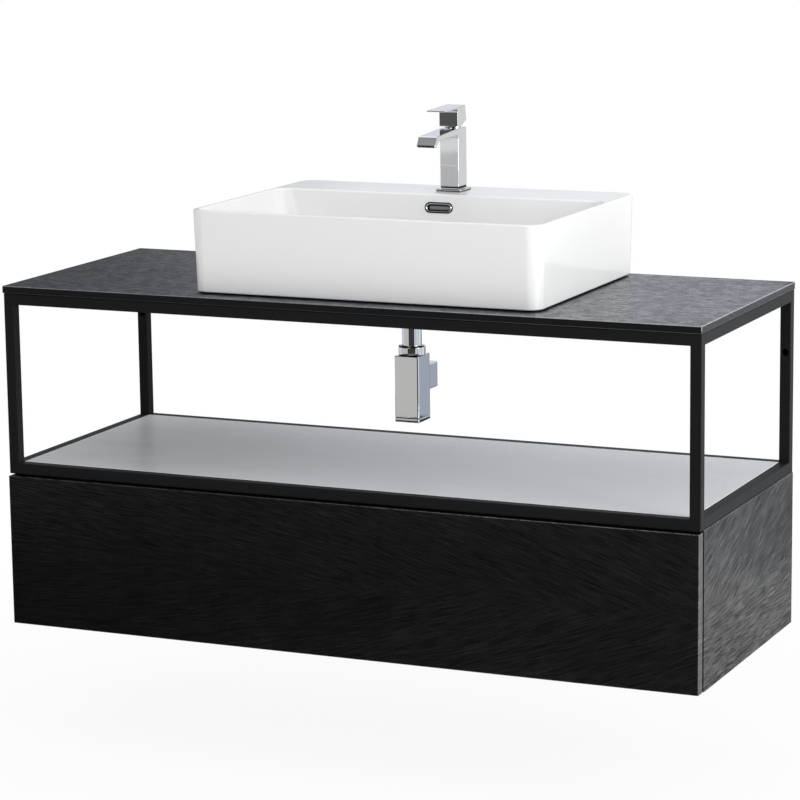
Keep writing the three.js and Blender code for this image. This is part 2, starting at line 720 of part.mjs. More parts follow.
function buildFaucet() {
  const at = [BASIN_OFFSET, FAUCET_Y];
  const half = FAUCET.width / 2;
  const span = [BASIN_OFFSET - half, BASIN_OFFSET + half];
  const front = FAUCET_Y - FAUCET.depth / 2;
  const back = FAUCET_Y + FAUCET.depth / 2;
  const top = FAUCET_TOP;

  // Connections in the faucet's foot: one stud in front, two hose inlets behind it.
  const studY = FAUCET_Y - STUD.forward;
  const inletY = FAUCET_Y + INLET.back;
  const inlets = [
    ["hot", BASIN_OFFSET - INLET.spacing / 2],
    ["cold", BASIN_OFFSET + INLET.spacing / 2],
  ];
  const socketTop = FAUCET_BOTTOM + SOCKET_DEPTH;
  const socket = (x, y, diameter) =>
    disc(x, y, diameter + 2 * GAP, FAUCET_BOTTOM - 1, socketTop, 16);

  const plateBottom = BASIN_TOP + GAP;
  const plate = upZ(
    roundedRectangle(FAUCET.base, FAUCET.base, 1.5),
    plateBottom,
    plateBottom + FAUCET.baseThickness,
    2,
  );
  const plateHole = disc(...at, FAUCET.baseBore, BASIN_TOP - 1, FAUCET_BOTTOM + 1);
  add("faucet_base", cut(plate.translate([...at, 0]), plateHole), MATERIALS.chrome);

  const seat = top - CARTRIDGE.seat - CARTRIDGE.height - GAP;
  const nozzle = outlineOf([
    [-172.9, top - 21],
    [-170.9, top - 24],
    [-168.9, top - 17.6],
    [-170.6, top - 16.4],
  ]);
  const nozzleMargin = 4;
  add(
    "faucet_body",
    cut(
      acrossX(faucetOutline(front, back), ...span),
      disc(...at, CARTRIDGE.diameter + 2 * GAP, seat, top + 1),
      acrossX(nozzle, span[0] + nozzleMargin, span[1] - nozzleMargin),
      socket(BASIN_OFFSET, studY, STUD.diameter),
      ...inlets.map(([, x]) => socket(x, inletY, INLET.diameter)),
    ),
    MATERIALS.chrome,
  );
  const insert = outlineOf([
    [-172.2, top - 21],
    [-170.9, top - 21.8],
    [-169.5, top - 17.8],
    [-170.5, top - 17.1],
  ]);
  const insertMargin = nozzleMargin + 0.5;
  const aerator = acrossX(insert, span[0] + insertMargin, span[1] - insertMargin);
  add("faucet_aerator", aerator, MATERIALS.plastic);

  // Cartridge, its ring nut, and the carrier that turns in it.
  const cartridgeTop = seat + GAP + CARTRIDGE.height;
  const nutTop = top + CARTRIDGE.nutRise;
  const cartridge = disc(...at, CARTRIDGE.diameter, seat + GAP, cartridgeTop - GAP);
  add("cartridge", cartridge, MATERIALS.plastic);
  const nut = ring(...at, CARTRIDGE.diameter, CARTRIDGE.nutBore, cartridgeTop, nutTop);
  add("cartridge_nut", nut, MATERIALS.chrome);
  const [slotX, slotY] = CARTRIDGE.slot;
  const slot = block(
    [BASIN_OFFSET - slotX / 2, BASIN_OFFSET + slotX / 2],
    [FAUCET_Y - slotY / 2, FAUCET_Y + slotY / 2],
    [cartridgeTop + 1, nutTop],
  );
  const carrier = disc(...at, CARTRIDGE.nutBore - 2 * GAP, cartridgeTop, nutTop - 2 * GAP);
  add("cartridge_carrier", cut(carrier, slot), MATERIALS.plastic);

  // Lever on its spindle.
  const leverBottom = nutTop + LEVER_CLEARANCE;
  const spindleTop = leverBottom + SPINDLE.reach;
  const square = (margin, z0, z1) => {
    const reach = SPINDLE.size / 2 + margin;
    return block(
      [BASIN_OFFSET - reach, BASIN_OFFSET + reach],
      [FAUCET_Y - reach, FAUCET_Y + reach],
      [z0, z1],
    );
  };
  const lever = acrossX(leverOutline(leverBottom, front - 1.5, back + 0.5), ...span);
  const spindleSocket = square(GAP, leverBottom - 1, spindleTop + GAP);
  add("faucet_lever", cut(lever, spindleSocket), MATERIALS.chrome);
  const spindle = square(0, top - SPINDLE.bottom, spindleTop);
  add("cartridge_spindle", spindle, MATERIALS.zincSteel);

  // Fixings under the ledge: a stud with its nut and a clamp plate that leaves room for the hoses.
  const studBottom = BASIN_TOP - STUD.drop;
  const stud = disc(BASIN_OFFSET, studY, STUD.diameter, studBottom, socketTop - GAP, 16);
  add("faucet_stud", stud, MATERIALS.zincSteel);

  const ledgeUnder = BASIN_TOP - LEDGE_THICKNESS - GAP;
  const clamp = disc(...at, CLAMP.diameter, ledgeUnder - CLAMP.thickness, ledgeUnder);
  const nutBottom = ledgeUnder - 1 - CLAMP.nutHeight;
  const hexagon = disc(BASIN_OFFSET, studY, CLAMP.nut, nutBottom, ledgeUnder - 1, 6);
  const studHole = disc(
    BASIN_OFFSET,
    studY,
    STUD.diameter + 2 * GAP,
    nutBottom - 1,
    ledgeUnder + 1,
    16,
  );
  const hoseRoom = block(
    [BASIN_OFFSET - 15, BASIN_OFFSET + 15],
    [FAUCET_Y - 1, FAUCET_Y + 30],
    [ledgeUnder - CLAMP.thickness - 1, ledgeUnder + 1],
  );
  add("faucet_nut", cut(join(clamp, hexagon), studHole, hoseRoom), MATERIALS.zincSteel);

  const inletBottom = BASIN_TOP - INLET.drop;
  for (const [name, x] of inlets) {
    const inlet = disc(x, inletY, INLET.diameter, inletBottom, socketTop - GAP, 16);
    add(`hose_inlet_${name}`, inlet, MATERIALS.zincSteel);
  }
}

buildFrame();
buildCountertop();
buildShelf();
buildCabinet();
buildDrawer();
buildRunners();
buildLatch();
buildBasin();
buildWaste();
buildTrap();
buildFaucet();

export default model;
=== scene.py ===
"""Wall-hung vanity with a vessel basin: finishes, fine shells and the studio round the CAD frame.

Metres. The wall plane is Y = 0, the room is on the -Y side, and Z = 0 is the middle of the frame's
top rails.
"""

import json
import math

import bmesh
import bpy
from mathutils import Matrix, Vector


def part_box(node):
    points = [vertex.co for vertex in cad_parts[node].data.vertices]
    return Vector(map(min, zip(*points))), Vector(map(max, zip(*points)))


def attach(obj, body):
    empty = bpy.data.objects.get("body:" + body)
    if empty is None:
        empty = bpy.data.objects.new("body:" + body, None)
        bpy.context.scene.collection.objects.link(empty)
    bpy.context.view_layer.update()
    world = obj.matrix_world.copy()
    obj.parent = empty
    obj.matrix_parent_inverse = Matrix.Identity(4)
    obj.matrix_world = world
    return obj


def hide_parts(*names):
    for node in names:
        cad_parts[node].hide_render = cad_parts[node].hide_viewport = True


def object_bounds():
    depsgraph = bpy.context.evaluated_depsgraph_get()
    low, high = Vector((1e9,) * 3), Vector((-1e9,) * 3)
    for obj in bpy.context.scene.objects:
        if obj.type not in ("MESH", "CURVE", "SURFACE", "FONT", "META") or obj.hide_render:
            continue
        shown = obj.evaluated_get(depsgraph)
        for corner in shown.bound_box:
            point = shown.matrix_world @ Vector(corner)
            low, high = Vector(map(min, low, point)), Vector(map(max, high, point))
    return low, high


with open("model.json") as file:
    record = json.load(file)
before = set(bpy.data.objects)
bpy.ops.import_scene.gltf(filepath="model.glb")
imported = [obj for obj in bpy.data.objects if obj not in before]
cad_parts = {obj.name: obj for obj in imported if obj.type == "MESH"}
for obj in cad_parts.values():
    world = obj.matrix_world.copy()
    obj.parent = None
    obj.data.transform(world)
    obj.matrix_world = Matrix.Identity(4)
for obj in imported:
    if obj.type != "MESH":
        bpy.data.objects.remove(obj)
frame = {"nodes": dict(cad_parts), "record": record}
cad_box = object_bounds()

MM = 0.001

# ---- Camera ---------------------------------------------------------------------------------------


def make_camera():
    data = bpy.data.cameras.new("camera")
    data.lens = 141.85
    data.sensor_width = 36
    data.clip_end = 100
    camera = bpy.data.objects.new("camera", data)
    camera.location = (2.0741, -4.8471, 0.7901)
    camera.rotation_euler = [math.radians(angle) for angle in (79.25, 0.715, 24.03)]
    bpy.context.scene.collection.objects.link(camera)
    bpy.context.scene.camera = camera


# ---- Shader nodes ---------------------------------------------------------------------------------


class Wire:
    """A node's output socket. Arithmetic on it adds Math nodes to the same tree."""

    def __init__(self, nodes, socket):
        self.nodes = nodes
        self.socket = socket

    def math(self, operation, *values):
        """A Math node on this wire, then the values."""
        return self.nodes.add("Math", {"operation": operation}, dict(enumerate((self, *values))))

    def __add__(self, other):
        return self.math("ADD", other)

    def __sub__(self, other):
        return self.math("SUBTRACT", other)

    def __rsub__(self, other):
        return self * -1.0 + other

    def __mul__(self, other):
        return self.math("MULTIPLY", other)

    __radd__ = __add__
    __rmul__ = __mul__


class Nodes:
    """The node tree of one material or world."""

    def __init__(self, owner):
        owner.use_nodes = True
        self.tree = owner.node_tree
        self.tree.nodes.clear()

    def add(self, kind, settings=None, sockets=None, output=0):
        """A node of a kind, its settings, then the values or wires of its sockets."""
        node = self.tree.nodes.new("ShaderNode" + kind)
        for name, value in (settings or {}).items():
            setattr(node, name, value)
        for key, value in (sockets or {}).items():
            if isinstance(value, Wire):
                self.tree.links.new(value.socket, node.inputs[key])
            else:
                node.inputs[key].default_value = value
        return Wire(self, node.outputs[output]) if node.outputs else None

    def split(self, at, axes="XYZ"):
        """The parts of a vector along the axes."""
        return [self.add("SeparateXYZ", None, {0: at}, axis) for axis in axes]

    def place(self, axes="XYZ"):
        """Where the point is in the row frame, along the axes."""
        return self.split(self.add("TexCoord", output="Object"), axes)

    def vector(self, x, y, z):
        return self.add("CombineXYZ", None, {"X": x, "Y": y, "Z": z})

    def noise(self, place, scale, detail=3.0, roughness=0.55):
        """Noise over a place of three wires or numbers, each with its scale."""
        at = self.vector(*[part * size for part, size in zip(place, scale)])
        sockets = {"Vector": at, "Scale": 1.0, "Detail": detail, "Roughness": roughness}
        return self.add("TexNoise", None, sockets)

    def step(self, value, low, high, start=0.0, end=1.0):
        """Goes smoothly from start to end while value goes from low to high."""
        sockets = {0: value, 1: low, 2: high, 3: start, 4: end}
        return self.add("MapRange", {"interpolation_type": "SMOOTHSTEP"}, sockets)

    def mix(self, factor, first, second):
        """Mixes two colours. A Mix node's colours are its sockets 6 and 7, and its output 2."""
        return self.add("Mix", {"data_type": "RGBA"}, {0: factor, 6: first, 7: second}, 2)

    def bump(self, height, depth):
        return self.add("Bump", None, {"Height": height, "Distance": depth, "Strength": 1.0})

    def surface(self, **sockets):
        """The Principled shader, with socket names written with underscores."""
        named = {name.replace("_", " "): value for name, value in sockets.items()}
        shader = self.add("BsdfPrincipled", None, named)
        self.add("OutputMaterial", None, {"Surface": shader})


def rgb(red, green, blue):
    return (red, green, blue, 1.0)


def finish(name):
    material = bpy.data.materials.new(name)
    return material, Nodes(material)


# ---- Finishes -------------------------------------------------------------------------------------


def powder_coat():
    material, paint = finish("powder_coat")
    place = paint.place()
    grit = paint.noise(place, (1400, 1400, 1400), 2.0)
    cloud = paint.noise(place, (9, 9, 9), 2.0)
    paint.surface(
        Base_Color=paint.mix(cloud, rgb(0.006, 0.006, 0.0066), rgb(0.0085, 0.0085, 0.0094)),
        Roughness=paint.step(grit, 0.3, 0.7, 0.48, 0.62),
        Specular_IOR_Level=0.2,
        Normal=paint.bump(grit, 0.03 * MM),
    )
    return material


def arris(paint, node, width):
    """1 along the straight edges of a box-shaped node: the mask for a painted highlight there."""
    low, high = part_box(node)
    near = []
    for at, start, end in zip(paint.place(), low, high):
        from_middle = (at - (start + end) / 2).math("ABSOLUTE")
        off_face = (from_middle - (end - start) / 2).math("ABSOLUTE")
        near.append(paint.step(off_face, width, width * 0.6))
    x, y, z = near
    return (x * y + y * z + z * x).math("MINIMUM", 1.0)


def slate_laminate():
    """Dark compact laminate with a fine slate texture that runs along the countertop."""
    material, paint = finish("slate_laminate")
    x, _, z = place = paint.place()
    cleft = paint.noise(place, (62, 105, 300), 6.0, 0.76)
    grain = paint.noise(place, (420, 900, 1200))
    cloud = paint.noise(place, (6, 14, 14))
    tone = paint.step(cleft * 0.88 + cloud * 0.12, 0.38, 0.62)
    decor = paint.mix(tone, rgb(0.0095, 0.0115, 0.0175), rgb(0.0165, 0.0205, 0.031))
    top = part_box("countertop")[1].z
    face = paint.step(z, top - 1.1 * MM, top - 0.6 * MM)
    slate = paint.mix(face, rgb(0.0035, 0.0038, 0.0045), decor)
    # Painted highlight: a pale line along the countertop's edges, broken by the grain, brightest at
    # the top edge and towards the right.
    arris_highlight = arris(paint, "countertop", 1.3 * MM) * paint.step(grain, 0.3, 0.5, 0.5, 1.0)
    arris_highlight = arris_highlight * paint.step(z, top - 9 * MM, top - 5 * MM, 0.2, 1.0)
    arris_highlight = arris_highlight * paint.step(x, -0.2, 0.5, 0.5, 1.0)
    paint.surface(
        Base_Color=paint.mix(arris_highlight, slate, rgb(0.34, 0.35, 0.37)),
        Roughness=paint.step(cleft * 0.86 + cloud * 0.14, 0.38, 0.62, 0.24, 0.42),
        Specular_IOR_Level=0.06,
        Coat_Weight=0.26 + face * paint.step(cleft * 0.8 + grain * 0.2, 0.42, 0.58, -0.2, 0.62),
        Coat_Roughness=0.22,
        Normal=paint.bump(cleft * 0.8 + grain * 0.2, 0.22 * MM),
    )
    return material


def satin_silver():
    """Silver foil with a painted highlight along its edges."""
    material, paint = finish("satin_silver")
    place = paint.place()
    cloud = paint.noise(place, (3, 5, 5), 2.0)
    grain = paint.noise(place, (900, 900, 900), 2.0)
    foil = paint.mix(cloud, rgb(0.695, 0.715, 0.73), rgb(0.78, 0.8, 0.815))
    paint.surface(
        # Painted highlight: near white along the shelf's edges.
        Base_Color=paint.mix(arris(paint, "shelf_panel", 1.6 * MM), foil, rgb(0.95, 0.95, 0.95)),
        Roughness=paint.step(cloud * 0.5 + grain * 0.5, 0.35, 0.65, 0.26, 0.34),
        Normal=paint.bump(cloud * 0.97 + grain * 0.03, 0.5 * MM),
    )
    return material


def fibres(paint, place, front_slope, side_slope, seed):
    """Oak grain that slopes on the front and on the sides: long fibres, growth bands, open pores."""
    x, y, z = place
    along = y - x
    ripple = paint.noise((along, z, seed), (9, 12, 1), 2.0)
    run = along + z * 0.2
    bend = x * 0.6 + x * x * 0.33
    level = z + bend * front_slope - y * side_slope + ripple * 0.007
    strands = paint.noise((run, level, seed), (17, 760, 1), 4.0, 0.7)
    bands = paint.noise((run, level, seed + 5), (4, 70, 1))
    pores = paint.noise((run, level, seed + 9), (24, 900, 1), 1.0)
    return strands, bands, pores


def stained_oak():
    """Black-stained brushed oak under a thin lacquer. Its grain rises above and falls below."""
    material, paint = finish("stained_oak")
    x, y, z = place = paint.place()
    drift = paint.noise((y - x, z, 2.0), (7, 9, 1))
    upper = paint.step(z + drift * 0.12, -0.4, -0.335)
    high = fibres(paint, place, 0.37, 0.4, 0.0)
    low = fibres(paint, place, -0.42, 0.02, 20.0)
    strands, bands, pores = [a * upper + b * (1 - upper) for a, b in zip(high, low)]
    land = paint.step(strands * 0.9 + bands * 0.1, 0.43, 0.57)
    solid_wood = 1 - paint.step(pores, 0.55, 0.66)
    stain = paint.mix(land * solid_wood, rgb(0.0025, 0.0026, 0.003), rgb(0.0037, 0.004, 0.0049))

    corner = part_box("drawer_front")[1]
    # Painted sheen: the drawer front's side faces are painted lighter, for the light they catch.
    off_side = (x.math("ABSOLUTE") - corner.x).math("ABSOLUTE")
    side_sheen = paint.step(off_side, 0.5 * MM, 0.3 * MM) * paint.step(y, corner.y + MM, corner.y)
    stain = paint.mix(side_sheen, stain, rgb(0.05, 0.052, 0.055))

    # Painted highlight: a pale line along the edges of the drawer front and the side panels, broken
    # by the grain and brighter towards the right.
    edge_highlight = arris(paint, "drawer_front", 1.3 * MM)
    for side in ("cabinet_side_left", "cabinet_side_right"):
        edge_highlight = edge_highlight + arris(paint, side, 1.3 * MM)
    edge_highlight = edge_highlight * paint.step(strands, 0.35, 0.6) * paint.step(x, -0.3, 0.4, 0.35, 1.0)

    lacquer = paint.step(land * 0.9 + bands * 0.2, 0.1, 0.95, 0.2, 1.0) * (solid_wood * 0.8 + 0.2)
    paint.surface(
        Base_Color=paint.mix(edge_highlight, stain, rgb(0.14, 0.145, 0.15)),
        Roughness=paint.step(land, 0.0, 1.0, 0.55, 0.42),
        Specular_IOR_Level=0.06,
        Coat_Weight=lacquer * paint.step(drift, 0.38, 0.62, 0.78, 1.0),
        Coat_IOR=1.6,
        Coat_Roughness=0.27,
        Normal=paint.bump(strands * 0.8 + bands * 0.2 + solid_wood * 0.3, 0.22 * MM),
    )
    return material


def melamine_board():
    material, paint = finish("melamine_board")
    place = paint.place()
    weave = paint.noise(place, (240, 600, 600))
    cloud = paint.noise(place, (14, 14, 14))
    mottle = weave * 0.6 + cloud * 0.4
    paint.surface(
        Base_Color=paint.mix(mottle, rgb(0.07, 0.073, 0.078), rgb(0.11, 0.114, 0.12)),
        Roughness=paint.step(weave, 0.3, 0.7, 0.5, 0.62),
        Normal=paint.bump(weave, 0.05 * MM),
    )
    return material


def metal(name, dark, light, roughness, scale):
    """A bare or plated metal: its tone and roughness vary a little over the surface."""
    material, paint = finish(name)
    place = paint.place()
    cloud = paint.noise(place, (30, 30, 30))
    grain = paint.noise(place, scale)
    paint.surface(
        Base_Color=paint.mix(cloud, rgb(*dark), rgb(*light)),
        Metallic=1.0,
        Roughness=paint.step(grain * 0.5 + cloud * 0.5, 0.3, 0.7, *roughness),
        Normal=paint.bump(grain, 0.004 * MM),
    )
    return material


def white_glaze():
    """White glaze that swells slightly over the clay."""
    material, paint = finish("white_glaze")
    place = paint.place()
    swell = paint.noise(place, (11, 11, 11), 2.0)
    speck = paint.noise(place, (420, 420, 420), 2.0)
    paint.surface(
        Base_Color=paint.mix(speck, rgb(0.81, 0.815, 0.815), rgb(0.85, 0.85, 0.845)),
        Roughness=paint.step(speck, 0.35, 0.65, 0.07, 0.11),
        Normal=paint.bump(swell * 0.985 + speck * 0.015, 0.7 * MM),
    )
    return material


def moulded(name, dark, light, roughness):
    """Rubber or moulded plastic with a fine eroded texture."""
    material, paint = finish(name)
    place = paint.place()
    grit = paint.noise(place, (1100, 1100, 1100), 2.0)
    cloud = paint.noise(place, (40, 40, 40), 2.0)
    paint.surface(
        Base_Color=paint.mix(cloud, rgb(*dark), rgb(*light)),
        Roughness=paint.step(grit, 0.3, 0.7, roughness - 0.06, roughness + 0.06),
        Specular_IOR_Level=0.25,
        Normal=paint.bump(grit, 0.03 * MM),
    )
    return material


FINISHES = {
    "frame_black": powder_coat(),
    "countertop_laminate": slate_laminate(),
    "shelf_silver": satin_silver(),
    "cabinet_oak": stained_oak(),
    "carcass_board": melamine_board(),
    "zinc_steel": metal(
        "zinc_plate", (0.42, 0.44, 0.46), (0.56, 0.58, 0.6),
        roughness=(0.24, 0.4), scale=(300, 40, 300),
    ),
    "ceramic_white": white_glaze(),
    "chrome_plate": metal(
        "chrome_plate", (0.66, 0.67, 0.68), (0.7, 0.71, 0.72),
        roughness=(0.01, 0.03), scale=(60, 60, 60),
    ),
    "rubber_black": moulded(
        "black_rubber", (0.005, 0.005, 0.005), (0.009, 0.009, 0.009),
        roughness=0.7,
    ),
    "grey_plastic": moulded(
        "grey_plastic", (0.2, 0.21, 0.22), (0.26, 0.27, 0.28),
        roughness=0.42,
    ),
}

# ---- Meshes ---------------------------------------------------------------------------------------

CORNER_STEPS = 10  # steps round each corner of a rounded rectangle
SIDE_STEPS = 8  # steps along each of its sides
SHARP_EDGE = math.radians(35)  # shaded as an edge where faces meet at more than this
ROUNDED_EDGE = math.radians(25)  # rounded where they meet at more than this


def loft(bm, rings, closed=False):
    """Joins rings of points with quads. An open loft is capped at both ends."""
    rows = [[bm.verts.new(point) for point in ring] for ring in rings]
    count = len(rows[0])
    pairs = list(zip(rows, rows[1:]))
    if closed:
        pairs.append((rows[-1], rows[0]))
    else:
        bm.faces.new(rows[0][::-1])
        bm.faces.new(rows[-1])
    for low, high in pairs:
        for i in range(count):
            j = (i + 1) % count
            bm.faces.new((low[i], low[j], high[j], high[i]))


def rounded(width, depth, radius):
    """Points round a rectangle with round corners about the origin, in X and Y."""
    corners = ((1, -1), (1, 1), (-1, 1), (-1, -1))
    arcs = []
    for quarter, (side, front) in enumerate(corners):
        centre = Vector((side * (width / 2 - radius), front * (depth / 2 - radius)))
        for i in range(CORNER_STEPS + 1):
            angle = math.radians(90 * (quarter - 1 + i / CORNER_STEPS))
            arcs.append(centre + radius * Vector((math.cos(angle), math.sin(angle))))
    points = []
    for i, point in enumerate(arcs):
        points.append(point)
        if (i + 1) % (CORNER_STEPS + 1) == 0:
            after = arcs[(i + 1) % len(arcs)]
            points += [point.lerp(after, k / SIDE_STEPS) for k in range(1, SIDE_STEPS)]
    return points


def circle(radius):
    """Points round a circle that match the points of a rounded rectangle."""
    count = 4 * (CORNER_STEPS + SIDE_STEPS)
    start = -90 + 45 * SIDE_STEPS / (CORNER_STEPS + SIDE_STEPS)
    angles = [math.radians(start + 360 * i / count) for i in range(count)]
    return [Vector((radius * math.cos(angle), radius * math.sin(angle))) for angle in angles]


def raised(points, centre, z):
    """Points in X and Y, moved to a centre and a height."""
    return [Vector((centre[0] + point[0], centre[1] + point[1], z)) for point in points]


def laid(points, lay, z):
    """Points in X and Y, raised to a height and then laid by a matrix."""
    return [lay @ point for point in raised(points, (0, 0), z)]


def quarter_turn(steps):
    """Sine and cosine pairs from 0 to 90 degrees."""
    angles = [math.pi / 2 * i / steps for i in range(steps + 1)]
    return [(math.sin(angle), math.cos(angle)) for angle in angles]


def curve_through(start, control, end, steps=8):
    """Points on a quadratic curve, without its start."""
    points = []
    for i in range(1, steps + 1):
        t = i / steps
        first, middle, last = (1 - t) ** 2, 2 * t * (1 - t), t * t
        corners = zip(start, control, end)
        points.append(tuple(first * a + middle * b + last * c for a, b, c in corners))
    return points


def box(bm, low, high):
    """A box between two corners."""
    corners = bmesh.ops.create_cube(bm, size=1.0)["verts"]
    low, high = Vector(low), Vector(high)
    bmesh.ops.scale(bm, vec=high - low, verts=corners)
    bmesh.ops.translate(bm, vec=(low + high) / 2, verts=corners)


def lathe(bm, profile, centre, steps=64, closed=True):
    """A round solid about an upright axis, from (radius, z) pairs."""
    rings = []
    for radius, z in profile:
        ring = []
        for i in range(steps):
            angle = 2 * math.pi * i / steps
            x = centre[0] + radius * math.cos(angle)
            y = centre[1] + radius * math.sin(angle)
            ring.append(Vector((x, y, z)))
        rings.append(ring)
    loft(bm, rings, closed)


def prism(bm, centre, size, radius, z_low, z_high, edge):
    """An upright block with round corners and rounded top and bottom edges."""
    levels = [(edge * (1 - sine), z_low + edge * (1 - cosine)) for sine, cosine in quarter_turn(4)]
    levels += [(edge * (1 - cosine), z_high - edge * (1 - sine)) for sine, cosine in quarter_turn(4)]
    rings = []
    for inset, z in levels:
        outline = rounded(size[0] - 2 * inset, size[1] - 2 * inset, radius - inset / 2)
        rings.append(raised(outline, centre, z))
    loft(bm, rings)


def side_prism(bm, outline, x_low, x_high):
    """An outline in Y and Z, carried across X."""
    loft(bm, [[Vector((x, y, z)) for y, z in outline] for x in (x_low, x_high)])


def made_from(name, bm):
    """An object with the faces of a bmesh."""
    mesh = bpy.data.meshes.new(name)
    bm.to_mesh(mesh)
    bm.free()
    made = bpy.data.objects.new(name, mesh)
    bpy.context.scene.collection.objects.link(made)
    return made


def solid(name, bm):
    """An object from closed shells, with all their faces turned outwards."""
    bmesh.ops.recalc_face_normals(bm, faces=bm.faces)
    return made_from(name, bm)


def smooth_shade(mesh):
    mesh.polygons.foreach_set("use_smooth", [True] * len(mesh.polygons))
    mesh.set_sharp_from_angle(angle=SHARP_EDGE)


def round_edges(made, width, segments=3):
    bevel = made.modifiers.new("round_edges", "BEVEL")
    bevel.width = width
    bevel.segments = segments
    bevel.limit_method = "ANGLE"
    bevel.angle_limit = ROUNDED_EDGE


def weigh_normals(made):
    weighted = made.modifiers.new("weigh_normals", "WEIGHTED_NORMAL")
    weighted.keep_sharp = True


def piece(name, bm, slot, nodes=(), body="root", bevel=0.0):
    """A finished piece on a body. It stands for the CAD nodes, and may have its edges rounded."""
    made = solid(name, bm)
    made.data.materials.append(FINISHES[slot])
    if bevel:
        round_edges(made, bevel)
    smooth_shade(made.data)
    weigh_normals(made)
    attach(made, body)
    if nodes:
        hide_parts(*nodes)
    return made


def bore(centre, radius, z_low, z_high):
    """A round hollow about an upright axis, for carve."""
    hollow = bmesh.new()
    lathe(hollow, [(radius, z_low), (radius, z_high)], centre, steps=48, closed=False)
    return hollow


def carve(made, **hollows):
    """Cuts hollows out of a piece and applies the result to its mesh."""
    cutters = [solid(name, hollow) for name, hollow in hollows.items()]
    for cutter in cutters:
        cut = made.modifiers.new(cutter.name, "BOOLEAN")
        cut.operation = "DIFFERENCE"
        cut.solver = "EXACT"
        cut.object = cutter
    made.modifiers.remove(made.modifiers["weigh_normals"])
    bpy.context.view_layer.update()
    graph = bpy.context.evaluated_depsgraph_get()
    carved = bpy.data.meshes.new_from_object(made.evaluated_get(graph))
    made.modifiers.clear()
    made.data = carved
    smooth_shade(carved)
    weigh_normals(made)
    for cutter in cutters:
        bpy.data.objects.remove(cutter)


# ---- CAD nodes that stay --------------------------------------------------------------------------

# How far the edges of each finish are rounded.
EDGE = {
    "frame_black": 1.2 * MM,
    "countertop_laminate": 0.9 * MM,
    "shelf_silver": 0.5 * MM,
    "cabinet_oak": 0.9 * MM,
    "carcass_board": 0.5 * MM,
    "zinc_steel": 0.25 * MM,
    "ceramic_white": 0.5 * MM,
    "chrome_plate": 0.4 * MM,
    "rubber_black": 0.3 * MM,
    "grey_plastic": 0.3 * MM,
}


def finish_cad_nodes():
    """Gives each CAD node its finish, joins its doubled points and rounds its edges."""
    slots = {row["node"]: row["material_slot"] for row in frame["record"]["subparts"]}
    for name, node in frame["nodes"].items():
        slot = slots[name]
        node.data.materials.clear()
        node.data.materials.append(FINISHES[slot])
        weld = node.modifiers.new("weld", "WELD")
        weld.merge_threshold = 0.01 * MM
        round_edges(node, EDGE[slot], segments=2)
        weigh_normals(node)


# ---- Frame ----------------------------------------------------------------------------------------


def make_welds():
    """Ground-flush welds that close the joints between the rails and the posts."""
    proud = Vector.Fill(3, 0.03 * MM)
    over_rail = 2.2 * MM
    over_post = 1.7 * MM
    welds = bmesh.new()
    for rail in [name for name in frame["nodes"] if name.startswith("frame_rail_")]:
        low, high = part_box(rail)
        run = 0 if high.x - low.x > high.y - low.y else 1
        for end, out in ((low[run], -1), (high[run], 1)):
            corner, opposite = low - proud, high + proud
            corner[run], opposite[run] = sorted((end - over_rail * out, end + over_post * out))
            box(welds, corner, opposite)
    piece("frame_welds", welds, "frame_black", bevel=EDGE["frame_black"])


def make_hole_shade_caps():
    """Plastic caps over the wall-screw holes, inside the rear posts: black, as painted shade that
    keeps the holes dark.
    """
    hole_z = -91.2 * MM
    wall = 1.6 * MM
    profile = [(5.2 * MM, 0.0), (5.2 * MM, 1.2 * MM), (4.6 * MM, 1.9 * MM), (2.4 * MM, 2.2 * MM)]
    caps = bmesh.new()
    for side in ("left", "right"):
        low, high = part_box("frame_post_rear_" + side)
        lay = Matrix.Translation(((low.x + high.x) / 2, high.y - wall, hole_z))
        lay = lay @ Matrix.Rotation(math.pi / 2, 4, "X")
        start = len(caps.verts)
        lathe(caps, profile, (0, 0), steps=32, closed=False)
        caps.verts.ensure_lookup_table()
        bmesh.ops.transform(caps, matrix=lay, verts=caps.verts[start:])
    piece("wall_hole_shade_caps", caps, "rubber_black")


# ---- Basin ----------------------------------------------------------------------------------------

BASIN_LOW, BASIN_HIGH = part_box("basin")
BASIN_CENTRE = (BASIN_LOW + BASIN_HIGH) / 2
BASIN_SIZE = BASIN_HIGH - BASIN_LOW
BASIN_TOP = BASIN_HIGH.z
BASIN_UNDER = BASIN_LOW.z + 1.0 * MM  # underside of the walls, above the recessed foot
OUTER_RADIUS = 26 * MM
LEAST_RADIUS = 6 * MM
WALL_TAPER = 4 * MM
RIM = 9 * MM
FOOT_INSET = 13 * MM
FOOT_WIDTH = 10 * MM
FOOT_FACE = FOOT_INSET - WALL_TAPER  # its outer face, as an inset for outer_ring

LEDGE = 120 * MM  # from the wall plane to the bowl
BOWL_DEPTH = 108 * MM
BOWL_SLOPE = 18 * MM
BOWL_RADIUS = 24 * MM
BOWL_FLARE = 0.22  # growth of its corners' radius with depth
BOWL_FILLET = 26 * MM
BOWL_FLOOR = BASIN_TOP - BOWL_DEPTH
FLOOR_FALL = 3 * MM
BOWL_FRONT = BASIN_LOW.y + RIM
BOWL_CENTRE = (BASIN_CENTRE.x, (BOWL_FRONT - LEDGE) / 2)
BOWL_SIZE = (BASIN_SIZE.x - 2 * RIM, -LEDGE - BOWL_FRONT)

DRAIN_LOW, DRAIN_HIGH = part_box("waste_body")
DRAIN = (DRAIN_LOW + DRAIN_HIGH) / 2
DRAIN_RADIUS = 23 * MM
FLANGE_SEAT = 33 * MM
TAP_LOW, TAP_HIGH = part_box("faucet_base")
TAP = (TAP_LOW + TAP_HIGH) / 2
TAP_HOLE = 17.5 * MM

